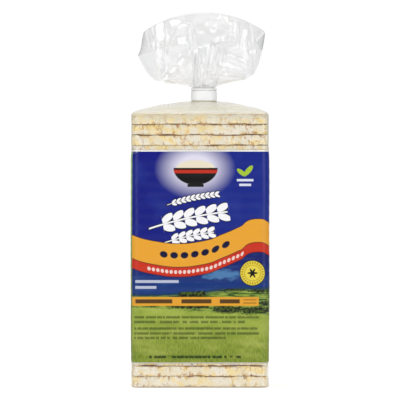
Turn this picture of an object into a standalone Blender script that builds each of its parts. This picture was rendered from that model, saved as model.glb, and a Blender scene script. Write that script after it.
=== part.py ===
"""A sealed clear bag of square puffed rice cakes, standing on its flat base.

The stack of cakes fills the bag up to the shoulders. Above it the film rises in a low dome to a
gathered neck, a band holds the neck, and the loose end of the film fans out over the band.
Metres, +Z up, with the origin at the middle of the base.
"""

import math

import bpy
from mathutils import Vector

MM = 0.001

# The stack of cakes that fills the bag, on the folded film of its base.
CAKE_COUNT = 26
CAKE_PITCH = 7.13 * MM
BASE_FOLDS = 0.8 * MM
STACK_TOP = BASE_FOLDS + CAKE_COUNT * CAKE_PITCH
BODY_HALF = 46.9 * MM
CORNER_RADIUS = 6.0 * MM
FOOT_RADIUS = 2.0 * MM
FOOT_STEPS = 3

# The film dips a little where two cakes meet, above and below the printed band.
CLEAR_SEAMS = (1, 2, 23, 24, 25)
SEAM_DEPTH = 0.5 * MM
SEAM_HALF_WIDTH = 1.2 * MM

# The printed band of film is a little looser than the clear film.
LABEL_BOTTOM = 17.3 * MM
LABEL_TOP = 160.6 * MM
LABEL_SLACK = 0.6 * MM
LABEL_EDGE = 1.5 * MM

# The dome of film over the top cake, drawn in to the neck.
DOME_BOTTOM = STACK_TOP - 1.6 * MM
DOME_STEPS = 8
DOME_POWER = 2.4
DOME_PLEAT = 0.9 * MM

# The neck and the band round it.
NECK_CENTRE_X = 2.7 * MM
NECK_HALF_X = 7.4 * MM
NECK_HALF_Y = 6.0 * MM
NECK_BOTTOM = 194.6 * MM
BAND_HEIGHT = 8.6 * MM
BAND_WALL = 1.1 * MM
BAND_LIP = 0.35 * MM
BAND_LIP_HEIGHT = 0.9 * MM
CLEARANCE = 0.3 * MM
NECK_TOP = NECK_BOTTOM + BAND_HEIGHT
BAND_BOTTOM = NECK_BOTTOM + CLEARANCE

# The fan of loose film, open at its top. Each section goes by its height at the two sides, its
# left and right edges and its half depth, in mm. In the middle the fan reaches higher.
HEAD_SECTIONS = (
    (204.8, -9.0, 12.0, 8.5),
    (206.3, -22.5, 18.5, 12.5),
    (208.6, -31.0, 30.5, 17.0),
    (212.5, -35.2, 36.6, 20.0),
    (218.3, -38.8, 39.4, 22.0),
    (225.2, -42.2, 41.4, 23.0),
    (231.0, -40.0, 42.8, 22.5),
    (237.0, -39.2, 43.8, 20.5),
    (241.6, -38.2, 44.2, 17.5),
)
HEAD_BOTTOM = 204.0 * MM
RIM_SIDE_HEIGHT = 241.6 * MM
RIM_TOP_HEIGHT = 254.8 * MM
RIM_POWER = 2.2
HEAD_PLEAT = 2.6 * MM
HEAD_OPEN_HALF = 20.0 * MM

# The mouth of the fan is open, down to a bunch of folds: share of the rim's size, and depth in mm.
MOUTH_RINGS = ((0.88, 0.6), (0.8, 10.0), (0.7, 18.0), (0.5, 21.0), (0.22, 15.0))
MOUTH_MIDDLE_DEPTH = 13.6 * MM

# Every section has this many points, a multiple of four, closer together at the corners.
SECTION_POINTS = 88
CORNER_CROWDING = 0.6

# The folds of the gathered film: an even row of them, with a slower unevenness.
PLEATS = 16
SLOW_PLEATS = 7
SLOW_SHARE = 0.35


def clear_scene():
    """Removes what a new file starts with."""
    for obj in list(bpy.data.objects):
        bpy.data.objects.remove(obj)


def make_collection(name):
    """A collection of that name in the scene."""
    collection = bpy.data.collections.new(name)
    bpy.context.scene.collection.children.link(collection)
    return collection


def make_material(name, colour, roughness):
    """A plain Principled material."""
    material = bpy.data.materials.new(name)
    material.use_nodes = True
    shader = material.node_tree.nodes["Principled BSDF"]
    shader.inputs["Base Color"].default_value = (*colour, 1.0)
    shader.inputs["Roughness"].default_value = roughness
    shader.inputs["Metallic"].default_value = 0.0
    return material


def quarter_point(along, half_x, half_y, radius):
    """The point at a distance along a rounded rectangle, from (half_x, 0) round to (0, half_y)."""
    rise = half_y - radius
    if along <= rise:
        return Vector((half_x, along))
    angle = (along - rise) / radius
    if angle <= math.pi / 2:
        return Vector((half_x - radius + radius * math.cos(angle), rise + radius * math.sin(angle)))
    past_arc = along - rise - radius * math.pi / 2
    return Vector((half_x - radius - past_arc, half_y))


def rounded_section(centre_x, half_x, half_y, radius):
    """A rounded rectangle's (x, y) points, anticlockwise from its +X side, crowded at corners."""
    radius = min(radius, half_x, half_y)
    quarter_length = half_x + half_y - 2 * radius + radius * math.pi / 2
    per_quarter = SECTION_POINTS // 4
    points = []
    for index in range(SECTION_POINTS):
        quarter, step = divmod(index, per_quarter)
        share = step / per_quarter
        share += CORNER_CROWDING * math.sin(2 * math.pi * share) / (2 * math.pi)
        along = (1 - share if quarter % 2 else share) * quarter_length
        point = quarter_point(along, half_x, half_y, radius)
        sign_x = -1 if quarter in (1, 2) else 1
        sign_y = -1 if quarter in (2, 3) else 1
        points.append(Vector((centre_x + sign_x * point.x, sign_y * point.y)))
    return points


def pleated(section, depth):
    """The section with its points drawn in by up to about depth, in evenly spaced folds."""
    middle = sum(section, Vector((0, 0))) / SECTION_POINTS
    highest = 1 + SLOW_SHARE
    folded = []
    for index, point in enumerate(section):
        turn = index / SECTION_POINTS * 2 * math.pi
        wave = math.cos(PLEATS * turn) + SLOW_SHARE * math.cos(SLOW_PLEATS * turn + 1.3)
        inward = depth * (highest - wave) / (2 * highest)
        folded.append(point - (point - middle).normalized() * inward)
    return folded


def level(section, height):
    """A ring of points: the section at one height."""
    return [Vector((point.x, point.y, height)) for point in section]


def body_rings():
    """The sections of the straight body, from the flat base to the foot of the dome."""
    insets = []
    for step in range(FOOT_STEPS + 1):
        angle = step / FOOT_STEPS * math.pi / 2
        insets.append((FOOT_RADIUS * (1 - math.cos(angle)), FOOT_RADIUS * (1 - math.sin(angle))))
    for seam in CLEAR_SEAMS:
        height = BASE_FOLDS + seam * CAKE_PITCH
        insets.append((height - SEAM_HALF_WIDTH, 0.0))
        insets.append((height, SEAM_DEPTH))
        insets.append((height + SEAM_HALF_WIDTH, 0.0))
    insets.append((LABEL_BOTTOM, 0.0))
    insets.append((LABEL_BOTTOM + LABEL_EDGE, -LABEL_SLACK))
    insets.append((LABEL_TOP - LABEL_EDGE, -LABEL_SLACK))
    insets.append((LABEL_TOP, 0.0))
    rings = []
    for height, inset in sorted(insets):
        half = BODY_HALF - inset
        rings.append(level(rounded_section(0.0, half, half, CORNER_RADIUS), height))
    return rings


def dome_rings():
    """The sections from the foot of the dome to the neck, each rounder than the one below."""
    rings = []
    for step in range(DOME_STEPS + 1):
        rise = (step / DOME_STEPS) ** 0.6
        drawn_in = rise ** DOME_POWER
        half_x = BODY_HALF + (NECK_HALF_X - BODY_HALF) * drawn_in
        half_y = BODY_HALF + (NECK_HALF_Y - BODY_HALF) * drawn_in
        radius = CORNER_RADIUS + (half_y - CORNER_RADIUS) * drawn_in
        section = rounded_section(NECK_CENTRE_X * drawn_in, half_x, half_y, radius)
        folded = pleated(section, DOME_PLEAT * math.sin(math.pi * drawn_in))
        rings.append(level(folded, DOME_BOTTOM + (NECK_BOTTOM - DOME_BOTTOM) * rise))
    return rings


def head_rings():
    """The top of the neck, then the fan of loose film: pleated sections that arch up to the rim."""
    neck = rounded_section(NECK_CENTRE_X, NECK_HALF_X, NECK_HALF_Y, NECK_HALF_Y)
    rings = [level(neck, NECK_TOP + CLEARANCE)]
    for side_height, left, right, depth in HEAD_SECTIONS:
        half_x = (right - left) / 2 * MM
        half_y = depth * MM
        centre_x = (left + right) / 2 * MM
        share = (side_height * MM - HEAD_BOTTOM) / (RIM_SIDE_HEIGHT - HEAD_BOTTOM)
        section = rounded_section(centre_x, half_x, half_y, half_y)
        folded = pleated(section, HEAD_PLEAT * min(1.0, half_y / HEAD_OPEN_HALF))
        ring = []
        for point, unfolded in zip(folded, section):
            sideways = abs(unfolded.x - centre_x) / half_x
            rim = RIM_TOP_HEIGHT - (RIM_TOP_HEIGHT - RIM_SIDE_HEIGHT) * sideways ** RIM_POWER
            ring.append(Vector((point.x, point.y, HEAD_BOTTOM + share * (rim - HEAD_BOTTOM))))
        rings.append(ring)
    return rings


def mouth_rings(rim):
    """The inside of the fan: down from the rim, and up again over the bunch of folds in the middle."""
    middle = sum(rim, Vector()) / SECTION_POINTS
    rings = []
    for size, depth in MOUTH_RINGS:
        drop = Vector((0, 0, depth * MM))
        rings.append([middle.lerp(point, size) - drop for point in rim])
    return rings, middle - Vector((0, 0, MOUTH_MIDDLE_DEPTH))


def faces_between(lower, upper):
    """The faces from one ring of points to another, given the index of each ring's first point."""
    faces = []
    for i in range(SECTION_POINTS):
        following = (i + 1) % SECTION_POINTS
        faces.append((lower + i, lower + following, upper + following, upper + i))
    return faces


def make_object(name, points, faces, material, collection):
    """A smooth shaded mesh object in the collection."""
    mesh = bpy.data.meshes.new(name)
    mesh.from_pydata(points, [], faces)
    mesh.shade_smooth()
    mesh.set_sharp_from_angle(angle=math.radians(40))
    mesh.materials.append(material)
    obj = bpy.data.objects.new(name, mesh)
    collection.objects.link(obj)
    return obj


def build_bag(collection):
    """The bag with its contents: one solid out to the film, a loft from a square to a fan."""
    rings = body_rings() + dome_rings() + head_rings()
    inner_rings, bottom_of_mouth = mouth_rings(rings[-1])
    rings += inner_rings
    points = [point for ring in rings for point in ring] + [bottom_of_mouth]
    faces = [tuple(reversed(range(SECTION_POINTS)))]
    for ring in range(len(rings) - 1):
        faces += faces_between(ring * SECTION_POINTS, (ring + 1) * SECTION_POINTS)
    middle = len(points) - 1
    last = middle - SECTION_POINTS
    faces += [(last + i, last + (i + 1) % SECTION_POINTS, middle) for i in range(SECTION_POINTS)]
    material = make_material("rice_cakes_in_film", (0.78, 0.67, 0.47), 0.35)
    return make_object("bag", points, faces, material, collection)


def build_neck_band(collection):
    """The band round the neck: an upright shell with a slightly thicker lip at its top."""
    profile = (
        (0.0, BAND_BOTTOM),
        (BAND_WALL, BAND_BOTTOM),
        (BAND_WALL, NECK_TOP - BAND_LIP_HEIGHT - BAND_LIP),
        (BAND_WALL + BAND_LIP, NECK_TOP - BAND_LIP_HEIGHT),
        (BAND_WALL + BAND_LIP, NECK_TOP),
        (0.0, NECK_TOP),
    )
    points = []
    for outward, height in profile:
        half_x = NECK_HALF_X + CLEARANCE + outward
        half_y = NECK_HALF_Y + CLEARANCE + outward
        section = rounded_section(NECK_CENTRE_X, half_x, half_y, half_y)
        points += level(section, height)
    faces = []
    for ring in range(len(profile)):
        above = (ring + 1) % len(profile)
        faces += faces_between(ring * SECTION_POINTS, above * SECTION_POINTS)
    material = make_material("white_band", (0.88, 0.88, 0.87), 0.45)
    return make_object("neck_band", points, faces, material, collection)


def main():
    clear_scene()
    collection = make_collection("bag_of_rice_cakes")
    build_bag(collection)
    build_neck_band(collection)


main()
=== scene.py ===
"""The looks of a standing bag of puffed rice cakes: cakes, clear film, printed wrap and tape."""

import math
import random

import bmesh
import bpy
from mathutils import Matrix, Vector, noise


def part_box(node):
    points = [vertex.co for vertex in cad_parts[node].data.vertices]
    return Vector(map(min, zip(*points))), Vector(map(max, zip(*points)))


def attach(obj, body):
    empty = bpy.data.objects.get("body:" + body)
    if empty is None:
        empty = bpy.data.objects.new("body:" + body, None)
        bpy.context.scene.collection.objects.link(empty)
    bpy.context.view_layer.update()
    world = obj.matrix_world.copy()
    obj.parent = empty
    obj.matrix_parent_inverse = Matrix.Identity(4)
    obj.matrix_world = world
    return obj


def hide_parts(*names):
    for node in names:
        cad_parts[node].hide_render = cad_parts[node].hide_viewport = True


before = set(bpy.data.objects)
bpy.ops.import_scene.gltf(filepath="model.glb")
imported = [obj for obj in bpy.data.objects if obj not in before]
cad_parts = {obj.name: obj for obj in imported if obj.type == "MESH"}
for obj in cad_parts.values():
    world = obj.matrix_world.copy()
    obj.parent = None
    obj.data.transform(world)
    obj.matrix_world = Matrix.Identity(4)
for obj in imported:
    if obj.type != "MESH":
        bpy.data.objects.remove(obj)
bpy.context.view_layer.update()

MM = 0.001
TAU = 2 * math.pi

# Sizes read from the frame.
BAG_LOW, BAG_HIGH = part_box("bag")
BAND_LOW, BAND_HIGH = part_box("neck_band")
WRAP_HALF = BAG_HIGH.x
RIM_TOP = BAG_HIGH.z
NECK_X = (BAND_LOW.x + BAND_HIGH.x) / 2
BAND_HALF_X = (BAND_HIGH.x - BAND_LOW.x) / 2
BAND_HALF_Y = (BAND_HIGH.y - BAND_LOW.y) / 2

# The stack of cakes.
CAKE_COUNT = 26
CAKE_PITCH = 7.13 * MM
CAKE_THICKNESS = 7.09 * MM
BASE_FOLDS = 0.8 * MM
STACK_TOP = BASE_FOLDS + CAKE_COUNT * CAKE_PITCH
CAKE_HALF = 46.1 * MM
CAKE_CORNER = 5.0 * MM
# What the film's drift and the grains' scatter are drawn from, so that each run gives the same.
NOISE_SEED = 7
FINE_CAKES = (1, 2, 3, 23, 24, 25, 26)
SEAM_REACH = 1.5 * MM
CHIP_REACH = 0.9 * MM
DEEPEST_CHIP = 0.6
# The cake that is broken, how far along its front the break starts, and how deep it goes.
BROKEN_CAKE = 2
BROKEN_FROM = -19.0 * MM
BROKEN_DEPTH = 1.6 * MM

# The film round the stack.
FILM_HALF = 46.75 * MM
FILM_CORNER = 5.6 * MM
WRAP_CORNER = 6.0 * MM
WRAP_SKIN_HALF = WRAP_HALF - 0.45 * MM
LABEL_BOTTOM = 17.3 * MM
LABEL_TOP = 160.6 * MM
BARE_EDGE = 1.2 * MM
PANEL_SHIFT = 1.2
FILM_UNDER_LABEL = 4.0 * MM
DOME_BOTTOM = STACK_TOP - 1.6 * MM
DOME_POWER = 2.4
NECK_HALF_X = BAND_HALF_X - 1.45 * MM
NECK_HALF_Y = BAND_HALF_Y - 1.45 * MM

# The fan of loose film above the tape: height at its two sides, left and right edge, half depth.
FAN_SECTIONS = (
    (203.3, -4.6, 10.0, 5.9),
    (204.9, -9.5, 12.5, 8.5),
    (206.3, -22.8, 18.8, 12.5),
    (208.6, -31.2, 30.8, 17.0),
    (212.5, -35.5, 36.9, 20.0),
    (218.3, -39.2, 39.8, 22.0),
    (225.2, -42.6, 41.8, 23.0),
    (231.0, -40.4, 43.2, 22.5),
    (237.0, -39.6, 44.2, 20.5),
    (241.6, -38.6, 44.6, 17.5),
)
FAN_BOTTOM = 203.3 * MM

# Folds on the front of the fan, in mm: from x, z to x, z, how far each stands out, and its reach.
FRONT_FOLDS = (
    (-35.5, 246.5, -31.5, 238.0, -0.6, 1.2),
    (-24.2, 251.0, -24.6, 233.0, -0.9, 1.3),
    (-24.6, 233.0, -26.5, 216.0, -1.5, 3.0),
    (-28.5, 207.0, -8.5, 226.0, 1.8, 4.6),
    (-23.0, 227.0, -20.4, 236.5, -0.7, 1.3),
    (-20.4, 236.5, -17.0, 243.4, -0.7, 1.3),
    (-17.0, 243.4, -12.2, 247.2, -0.7, 1.3),
    (-12.2, 247.2, -8.2, 247.0, -0.7, 1.3),
    (-8.2, 247.0, -6.6, 230.0, -0.8, 1.4),
    (-4.8, 247.0, -4.8, 206.0, -1.0, 1.4),
    (14.0, 251.0, 20.5, 244.0, 0.8, 1.8),
    (27.4, 249.0, 27.4, 234.0, -0.9, 1.6),
    (33.2, 248.0, 35.9, 230.0, -1.0, 1.5),
    (35.9, 230.0, 35.9, 212.0, -0.9, 1.5),
    (20.0, 233.0, 31.0, 231.0, 0.9, 2.0),
    (-2.0, 229.0, 4.0, 232.0, 0.9, 2.2),
    (-3.0, 222.0, -1.0, 208.0, 0.8, 1.8),
    (14.0, 212.0, 34.0, 210.5, -0.6, 1.6),
    (18.0, 228.0, 33.0, 222.0, -0.5, 1.3),
    (18.0, 224.0, 33.0, 219.0, -0.5, 1.3),
)
# Folds on the front of the bunch inside the fan, in the same way.
BUNCH_FOLDS = (
    (1.4, 216.0, 8.9, 234.8, 1.5, 3.4),
    (8.1, 212.0, 13.2, 233.0, 1.5, 3.4),
    (-3.2, 205.0, -3.6, 226.0, 1.0, 2.2),
    (3.6, 205.0, 5.6, 217.0, 1.0, 2.2),
    (0.0, 205.0, -0.6, 219.0, -0.9, 1.8),
    (9.6, 205.0, 7.4, 214.0, 0.9, 2.0),
    (5.2, 220.0, 10.6, 233.0, -0.9, 1.6),
    (-4.0, 229.0, 2.0, 224.0, 0.8, 2.0),
)
# How far the loose film sits inside the solid, in mm.
SLACK = 1.5
# Flat plates of film between folds: where each faces, in degrees to the right and up, and then the
# x and z of each of its corners, in mm.
TO_LEFT = (-20.3, 9.4)
TO_RIGHT = (22.6, 6.8)
PLATES = (
    (TO_LEFT, -30.6, 248.6, -24.4, 251.2, -24.0, 236.4, -27.9, 234.2, -31.0, 242.4),
    (TO_LEFT, -38.2, 242.6, -36.8, 243.0, -32.9, 232.0, -34.3, 231.4),
    (TO_LEFT, -34.2, 234.6, -30.0, 235.6, -31.0, 229.6),
    (TO_LEFT, -33.6, 246.4, -31.8, 247.4, -30.6, 239.6, -31.8, 239.4),
    (TO_LEFT, -16.6, 238.6, -8.8, 239.4, -9.6, 233.4, -15.4, 231.8),
    (TO_RIGHT, -3.6, 243.4, 3.2, 242.6, 2.6, 240.6, -3.0, 240.2),
    (TO_LEFT, 2.4, 247.8, 7.4, 247.6, 7.4, 245.4, 3.2, 245.4),
    (TO_RIGHT, 7.8, 247.6, 13.4, 247.2, 12.6, 245.2, 7.8, 245.4),
    (TO_RIGHT, 7.8, 250.6, 9.8, 251.2, 18.8, 244.8, 17.6, 243.6),
    (TO_LEFT, 6.0, 244.2, 12.0, 243.4, 10.6, 241.4, 6.2, 242.4),
    (TO_RIGHT, 13.6, 238.6, 18.0, 240.4, 17.4, 236.4, 14.4, 236.0),
    (TO_LEFT, 8.4, 236.6, 12.6, 238.6, 13.6, 236.4, 9.6, 234.6),
    (TO_LEFT, -5.4, 229.4, -1.6, 231.2, 0.6, 228.8, -2.6, 226.8),
    (TO_LEFT, 20.2, 232.2, 26.4, 232.6, 26.6, 230.2, 21.4, 229.8),
    (TO_RIGHT, 31.8, 234.6, 34.4, 235.6, 34.6, 231.4, 32.8, 231.6),
    (TO_RIGHT, 22.4, 250.2, 25.6, 249.2, 25.2, 237.0, 23.0, 234.0),
    (TO_LEFT, 20.4, 247.0, 21.8, 247.4, 20.6, 236.0, 18.6, 236.2),
    (TO_RIGHT, 28.6, 236.0, 30.6, 236.4, 31.6, 230.2, 29.4, 229.6),
    (TO_RIGHT, 32.6, 229.8, 39.4, 230.4, 38.4, 226.4, 33.0, 226.2),
    (TO_RIGHT, 12.4, 222.2, 16.8, 223.0, 31.0, 215.0, 12.4, 218.4),
    (TO_RIGHT, 16.0, 229.6, 17.6, 229.6, 17.8, 221.6, 16.0, 221.6),
    (TO_RIGHT, 37.2, 236.2, 38.6, 235.0, 44.6, 242.4, 43.4, 243.4),
    (TO_LEFT, -26.8, 208.8, -24.0, 207.4, -20.0, 211.8, -22.4, 213.8),
    (TO_LEFT, -21.8, 215.2, -19.4, 212.6, -14.6, 217.8, -18.0, 219.0),
    (TO_LEFT, -17.0, 219.8, -13.4, 218.6, -9.8, 223.2, -11.6, 225.6),
)
BUNCH_PLATES = (
    (TO_LEFT, 5.4, 234.2, 8.0, 234.8, 3.6, 220.0, 1.4, 220.6),
    (TO_RIGHT, 9.2, 233.8, 11.0, 233.4, 7.6, 217.0, 5.4, 217.6),
    (TO_RIGHT, 12.2, 231.0, 14.0, 230.0, 10.6, 212.6, 8.6, 213.0),
    (TO_LEFT, -3.2, 229.4, -0.6, 230.2, 0.4, 223.0, -1.8, 222.6),
    (TO_LEFT, -0.4, 219.6, 2.0, 219.8, 3.4, 214.2, 1.0, 213.6),
    (TO_LEFT, -4.2, 219.0, -2.4, 219.0, -2.2, 208.4, -3.8, 208.4),
    (TO_RIGHT, 3.2, 213.0, 5.2, 213.0, 5.8, 206.0, 3.8, 206.0),
    (TO_LEFT, 6.6, 211.6, 8.4, 211.6, 8.2, 205.6, 6.8, 205.6),
)
# Where the film is folded over double, and so cloudier.
DOUBLED = (
    ((-26.8, 234.0), (-22.8, 232.0), (-24.6, 217.0), (-26.4, 219.0)),
    ((44.8, 241.6), (38.4, 234.6), (42.4, 229.4)),
)
# Sets of creases that cross the whole fan: each one's angle in degrees, spacing and rise in mm, and
# where it starts. The calm patches of film, by middle and reach, have almost none.
CREASES = (
    (8.0, 15.0, 0.3, 0.4),
    (-28.0, 24.0, 0.5, 2.0),
    (52.0, 31.0, 0.6, 4.0),
    (95.0, 38.0, 0.5, 1.0),
)
CALM_LEFT = (-35.0, 217.0, 10.0, 14.0)
CALM_RIGHT = (24.0, 211.0, 14.0, 7.0)
# No plate reaches further than this from its middle, in mm.
PLATE_REACH = 12.0
# The share of the bunch's sheet that closes the neck, and how tall the rest is, in mm.
BUNCH_FLOOR = 0.1
BUNCH_TALL = 31.0
# The fan's rim: its height at the two sides, how its line curves, and how much lower the front is.
RIM_SIDE = 241.6 * MM
RIM_POWER = 2.2
FRONT_RIM_DROP = 1.2 * MM


def srgb(red, green, blue):
    """A colour given as a painter's 0 to 255 values, as the linear colour that shaders take."""
    linear = []
    for value in (red, green, blue):
        share = value / 255
        linear.append(share / 12.92 if share <= 0.04045 else ((share + 0.055) / 1.055) ** 2.4)
    return (*linear, 1.0)


def ink(red, green, blue):
    """A printed colour, given as it looks under the film's sheen, so a little deeper than that."""
    seen = srgb(red, green, blue)
    return (*[max(0.0015, channel * 0.8 - 0.016) for channel in seen[:3]], 1.0)


# ---------- materials

class Recipe:
    """The nodes of one material."""

    def __init__(self, name):
        self.material = bpy.data.materials.new(name)
        self.material.use_nodes = True
        self.tree = self.material.node_tree
        self.shader = self.tree.nodes["Principled BSDF"]
        self.output = self.tree.nodes["Material Output"]

    def add(self, kind, inputs=(), **settings):
        """A node with its settings, and its inputs given as (socket, value or output) pairs."""
        node = self.tree.nodes.new("ShaderNode" + kind)
        for name, value in settings.items():
            setattr(node, name, value)
        for socket, value in inputs:
            self.put(node.inputs[socket], value)
        return node

    def put(self, socket, value):
        if isinstance(value, bpy.types.NodeSocket):
            self.tree.links.new(value, socket)
        else:
            socket.default_value = value

    def math(self, operation, *values, clamp=False):
        inputs = list(enumerate(values))
        return self.add("Math", inputs, operation=operation, use_clamp=clamp).outputs[0]

    def times(self, first, second):
        return self.math("MULTIPLY", first, second)

    def scaled(self, value, factor, more):
        """The value times a factor, plus something more."""
        return self.math("MULTIPLY_ADD", value, factor, more)

    def plus(self, first, second):
        return self.math("ADD", first, second)

    def minus(self, first, second):
        return self.math("SUBTRACT", first, second)

    def mix(self, share, first, second, strength=None):
        """The first colour where share is 0, and the second, at a strength, where it is 1."""
        node = self.add("Mix", data_type="RGBA")
        self.put(node.inputs["Factor"], self.times(share, strength) if strength else share)
        self.put(node.inputs[6], first)
        self.put(node.inputs[7], second)
        return node.outputs[2]

    def ramp(self, value, low, high):
        """0 up to low, 1 from high on, and straight between; high may be the smaller."""
        inputs = [(0, value), (1, low), (2, high), (3, 0.0), (4, 1.0)]
        return self.add("MapRange", inputs).outputs[0]

    def band(self, value, low, high, soft):
        """1 between low and high, falling to 0 over soft on each side."""
        rising = self.ramp(value, low - soft, low + soft)
        falling = self.ramp(value, high + soft, high - soft)
        return self.times(rising, falling)

    def patch(self, u, v, left, right, low, high, soft):
        """1 inside a rectangle, and 0 outside it."""
        return self.times(self.band(v, low, high, soft), self.band(u, left, right, soft))

    def noise(self, place, scale, detail=3.0, roughness=0.5):
        inputs = [("Vector", place), ("Scale", scale), ("Detail", detail), ("Roughness", roughness)]
        return self.add("TexNoise", inputs).outputs["Fac"]

    def drawn(self, place, x, y, scale, detail=3.0):
        """Noise on a flat print, drawn out across or up: it is finer where x or y is larger."""
        return self.noise(self.stretched(place, x, y, 1.0), scale, detail)

    def stretched(self, place, x, y, z):
        """The place with each of its directions stretched."""
        return self.add("VectorMath", [(0, place), (1, (x, y, z))], operation="MULTIPLY").outputs[0]

    def colours(self, value, stops):
        """A run of colours picked by value: (position, colour) pairs."""
        node = self.add("ValToRGB", [("Fac", value)])
        elements = node.color_ramp.elements
        while len(elements) < len(stops):
            elements.new(0.5)
        for element, (position, colour) in zip(elements, stops):
            element.position = position
            element.color = colour
        return node.outputs["Color"]

    def bump(self, height, distance, strength):
        inputs = [("Height", height), ("Distance", distance), ("Strength", strength)]
        return self.add("Bump", inputs).outputs["Normal"]

    def finished(self, colour, roughness, normal, specular=0.5):
        """The material, once these are on its main shader."""
        values = {"Base Color": colour, "Roughness": roughness, "Normal": normal}
        for socket, value in {**values, "Specular IOR Level": specular}.items():
            self.put(self.shader.inputs[socket], value)
        return self.material

    def object_place(self):
        return self.add("TexCoord").outputs["Object"]

    def attribute(self, name):
        return self.add("Attribute", attribute_name=name)


def puffed_rice():
    """Puffed grains pressed together: pale hearts, cream skins, golden and brown toasted spots, and
    painted shade in the seams between cakes.
    """
    r = Recipe("puffed_rice")
    place = r.attribute("grain_place").outputs["Vector"]
    warp = r.add("TexNoise", [("Vector", place), ("Scale", 260.0), ("Detail", 2.0)])
    shift = r.stretched(warp.outputs["Color"], 0.0024, 0.0024, 0.0024)
    shaken = r.add("VectorMath", [(0, place), (1, shift)], operation="ADD").outputs[0]
    grains = r.add("TexVoronoi", [("Vector", shaken), ("Scale", 230.0)], feature="SMOOTH_F1")
    edges = r.add("TexVoronoi", [("Vector", shaken), ("Scale", 230.0)], feature="DISTANCE_TO_EDGE")
    pick = r.add("SeparateColor", [(0, grains.outputs["Color"])]).outputs[0]
    tone = r.colours(pick, [
        (0.0, srgb(221, 212, 190)),
        (0.38, srgb(224, 213, 186)),
        (0.55, srgb(230, 212, 166)),
        (0.8, srgb(230, 209, 152)),
        (1.0, srgb(224, 190, 120)),
    ])
    patches = r.ramp(r.noise(place, 120.0, 2.0), 0.48, 0.58)
    tone = r.mix(patches, tone, srgb(226, 219, 204), 0.85)
    rim = r.attribute("rim").outputs["Fac"]
    flattened = r.stretched(place, 1.0, 1.0, 0.6)
    golden = r.scaled(rim, 0.1, r.noise(flattened, 230.0, 4.0, 0.65))
    tone = r.mix(r.ramp(golden, 0.57, 0.68), tone, srgb(208, 175, 102), 0.75)
    tan = r.scaled(rim, 0.09, r.noise(flattened, 400.0, 4.0, 0.65))
    tone = r.mix(r.ramp(tan, 0.585, 0.68), tone, srgb(172, 118, 48), 0.85)
    brown = r.scaled(rim, 0.15, r.noise(r.stretched(place, 0.7, 0.7, 1.0), 620.0, 3.0, 0.6))
    tone = r.mix(r.ramp(brown, 0.68, 0.76), tone, srgb(104, 70, 36), 0.85)
    # Painted shade: brown laid on the rim where two cakes meet, for the dark shadow line in the
    # seam between them.
    tone = r.mix(r.ramp(rim, 0.6, 0.95), tone, srgb(150, 90, 30), 0.85)
    dents = r.math("MULTIPLY", edges.outputs["Distance"], 2.0, clamp=True)
    pores = r.noise(place, 900.0, 3.0)
    surface = r.plus(dents, r.times(pores, 0.3))
    return r.finished(tone, 0.62, r.bump(surface, 0.0004, 0.6), 0.3)


def clear_film(name, tint, calm, edge, roughness=0.14, passes=1.0, glossy=0.75, crinkled=0.35):
    """Thin clear film: mostly see-through, more solid where it turns away, with a soft gloss, and
    painted shade that darkens its colour where it turns away.
    Where its haze attribute is 1 it is as cloudy as gathered film."""
    r = Recipe(name)
    place = r.object_place()
    facing = r.add("LayerWeight", [("Blend", 0.35)]).outputs["Facing"]
    haze = r.scaled(r.math("POWER", facing, 1.6), edge, calm)
    cloud = r.scaled(r.noise(place, 90.0, 3.0), 0.3, 0.42)
    haze = r.math("MULTIPLY_ADD", r.attribute("haze").outputs["Fac"], cloud, haze, clamp=True)
    deeper = (*[channel * 0.93 for channel in tint[:3]], 1.0)
    shade = r.mix(r.noise(place, 35.0, 2.0), tint, deeper)
    # Painted shade: the film's colour darkens to grey-brown where it turns away from the view, for
    # the dark lines along its edges.
    shade = r.mix(r.math("POWER", facing, 6.0), shade, srgb(150, 148, 130), 0.8)
    crinkle = r.add("TexVoronoi", [("Vector", place), ("Scale", 120.0)], feature="DISTANCE_TO_EDGE")
    ripple = r.plus(crinkle.outputs["Distance"], r.noise(place, 260.0, 3.0))
    normal = r.bump(ripple, 0.0006, crinkled)
    r.finished(shade, roughness, normal)
    clear = r.add("BsdfTransparent", [("Color", (passes, passes, passes, 1.0))])
    glow = r.add("BsdfTranslucent", [("Color", shade), ("Normal", normal)])
    cloudy = r.add("MixShader", [(0, 0.5), (1, r.shader.outputs[0]), (2, glow.outputs[0])])
    body = r.add("MixShader", [(0, haze), (1, clear.outputs[0]), (2, cloudy.outputs[0])])
    shine = r.add("BsdfGlossy", [("Roughness", roughness), ("Normal", normal)])
    r.put(shine.inputs["Color"], (1, 1, 1, 1))
    turned_away = r.add("LayerWeight", [("Blend", 0.5), ("Normal", normal)]).outputs["Facing"]
    mirror = r.scaled(r.math("POWER", turned_away, 5.0), 0.9 * glossy, 0.05 * glossy)
    film = r.add("MixShader", [(0, mirror), (1, body.outputs[0]), (2, shine.outputs[0])])
    r.put(r.output.inputs["Surface"], film.outputs[0])
    return r.material


def white_tape():
    """Matt white tape with fine cross creases, a painted shadow line in the groove under its rolled
    lip, and painted shade along its bottom edge.
    """
    r = Recipe("white_tape")
    place = r.object_place()
    height = r.add("SeparateXYZ", [(0, place)]).outputs[2]
    share = r.ramp(height, BAND_LOW.z, BAND_HIGH.z)
    tone = r.mix(r.noise(place, 240.0, 3.0), srgb(247, 248, 252), srgb(241, 243, 248))
    # Painted shadow: a thin dark line in the groove under the tape's lip.
    tone = r.mix(r.band(share, 0.8, 0.84, 0.02), tone, srgb(150, 150, 152), 0.7)
    # Painted shade: greyer along the tape's bottom edge, where it meets the dome.
    tone = r.mix(r.ramp(share, 0.06, 0.0), tone, srgb(206, 204, 198), 0.2)
    creases = r.noise(r.stretched(place, 1.0, 1.0, 0.12), 700.0, 2.0)
    return r.finished(tone, 0.42, r.bump(creases, 0.0003, 0.35))


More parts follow.
